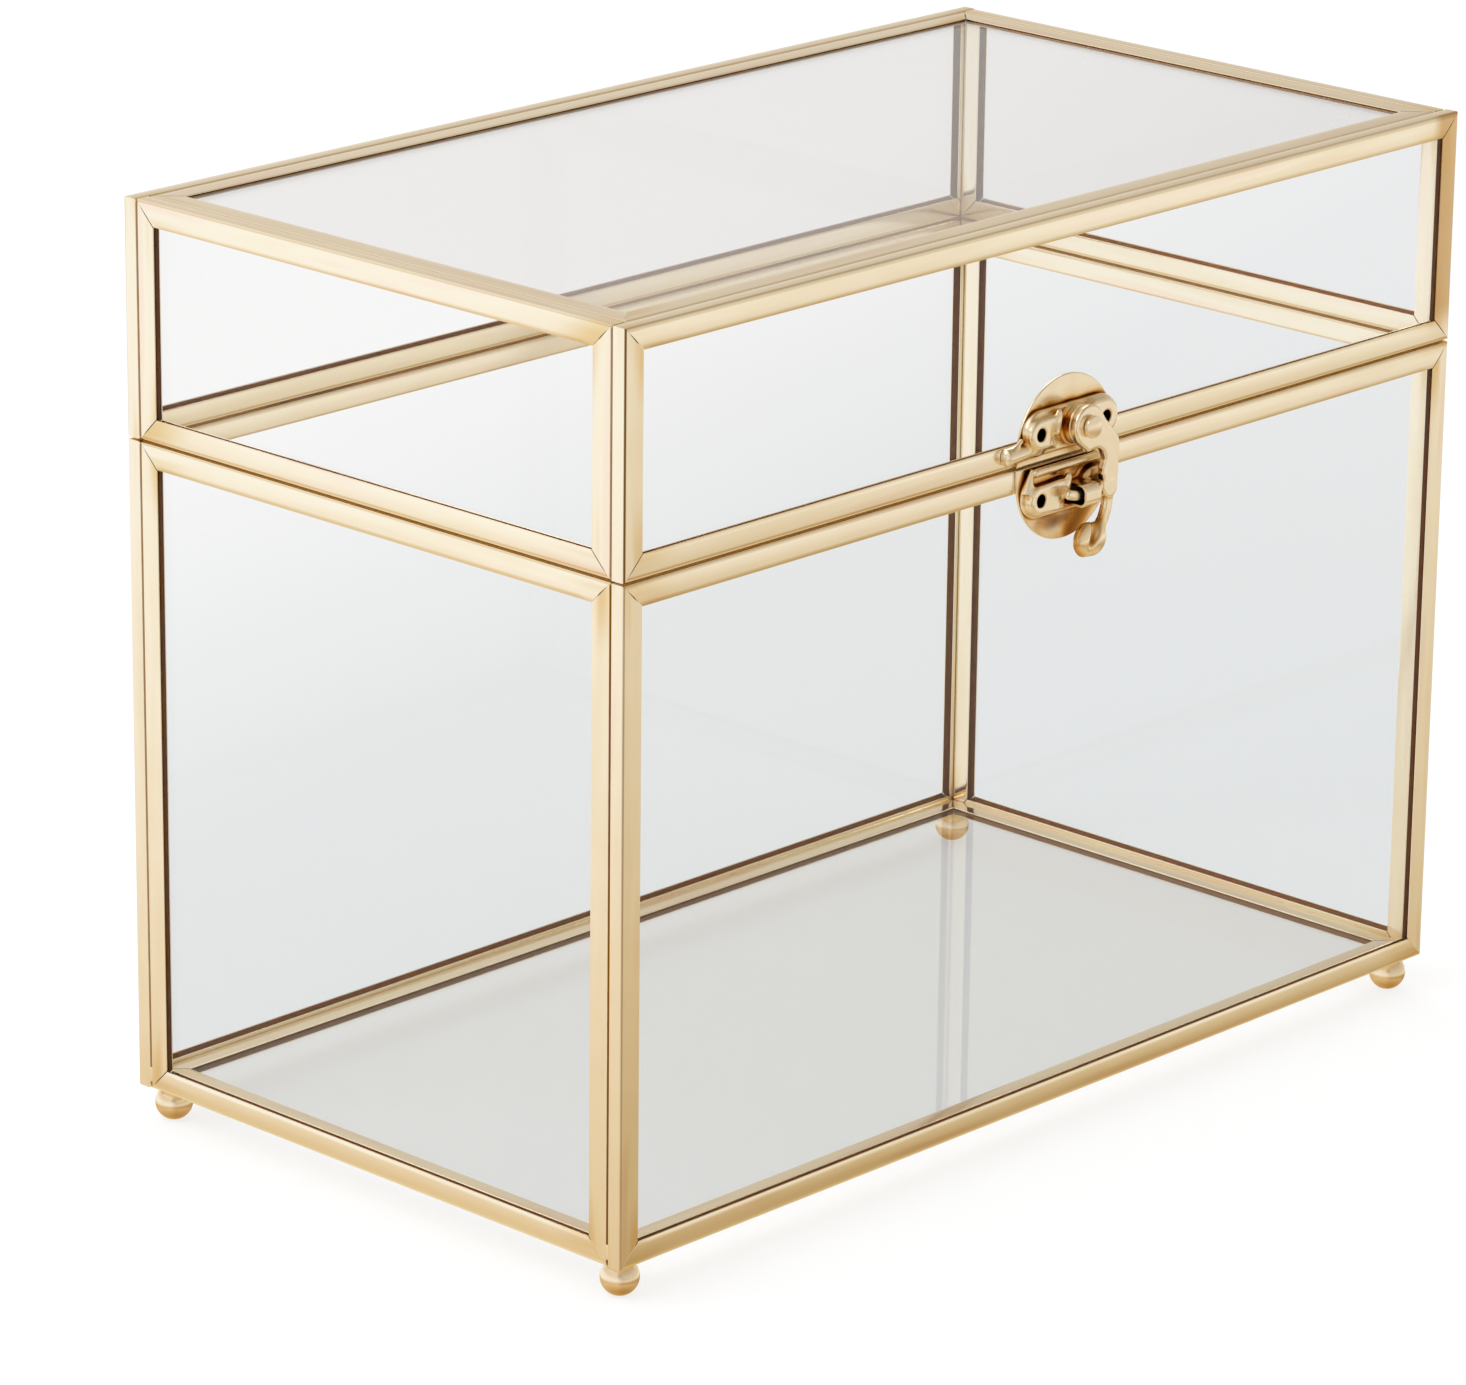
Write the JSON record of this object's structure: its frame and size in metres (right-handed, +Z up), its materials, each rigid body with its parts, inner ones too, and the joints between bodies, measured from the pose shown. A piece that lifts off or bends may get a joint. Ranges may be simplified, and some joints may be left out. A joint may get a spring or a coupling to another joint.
{
  "type": "card box",
  "caption": "Clear glass card box with folded brass channel frames, a lid hinged at the back, a swing-hook latch at the front and ball feet, for gift cards and envelopes.",
  "frame": {"origin": "on the surface that it stands on, under the middle of the whole object's box", "axes": "+X to the right along the latch side, +Y from the latch side to the hinge side, +Z up"},
  "size_m": [0.253, 0.1534, 0.1993],
  "materials": {
    "frame_brass": "satin polished pale brass strip",
    "foot_brass": "polished pale brass",
    "fitting_brass": "satin polished pale brass",
    "glass": "clear float glass"
  },
  "bodies": {
    "base": {"base_front_frame": "frame_brass", "base_back_frame": "frame_brass", "base_left_frame": "frame_brass", "base_right_frame": "frame_brass", "floor_frame": "frame_brass", "base_front_pane": "glass", "base_back_pane": "glass", "base_left_pane": "glass", "base_right_pane": "glass", "floor_pane": "glass", "front_left_foot": "foot_brass", "front_right_foot": "foot_brass", "back_left_foot": "foot_brass", "back_right_foot": "foot_brass", "base_backing_plate": "fitting_brass", "catch_plate": "fitting_brass", "left_hinge_base_leaf": "fitting_brass", "right_hinge_base_leaf": "fitting_brass", "left_hinge_pin": "fitting_brass", "right_hinge_pin": "fitting_brass"},
    "lid": {"lid_front_frame": "frame_brass", "lid_back_frame": "frame_brass", "lid_left_frame": "frame_brass", "lid_right_frame": "frame_brass", "top_frame": "frame_brass", "lid_front_pane": "glass", "lid_back_pane": "glass", "lid_left_pane": "glass", "lid_right_pane": "glass", "top_pane": "glass", "lid_backing_plate": "fitting_brass", "latch_plate": "fitting_brass", "pivot_rivet": "fitting_brass", "left_hinge_lid_leaf": "fitting_brass", "right_hinge_lid_leaf": "fitting_brass"},
    "latch_hook": {"latch_hook": "fitting_brass"}
  },
  "joints": [
    {"name": "lid_hinge", "type": "hinge", "parent": "base", "child": "lid", "pos_m": [0, 0.07493, 0.14885], "axis": [-1, 0, 0], "range_deg": [0, 180]},
    {"name": "hook_pivot", "type": "hinge", "parent": "lid", "child": "latch_hook", "pos_m": [0.0012, -0.074, 0.15605], "axis": [0, -1, 0], "range_deg": [0, 180]}
  ]
}
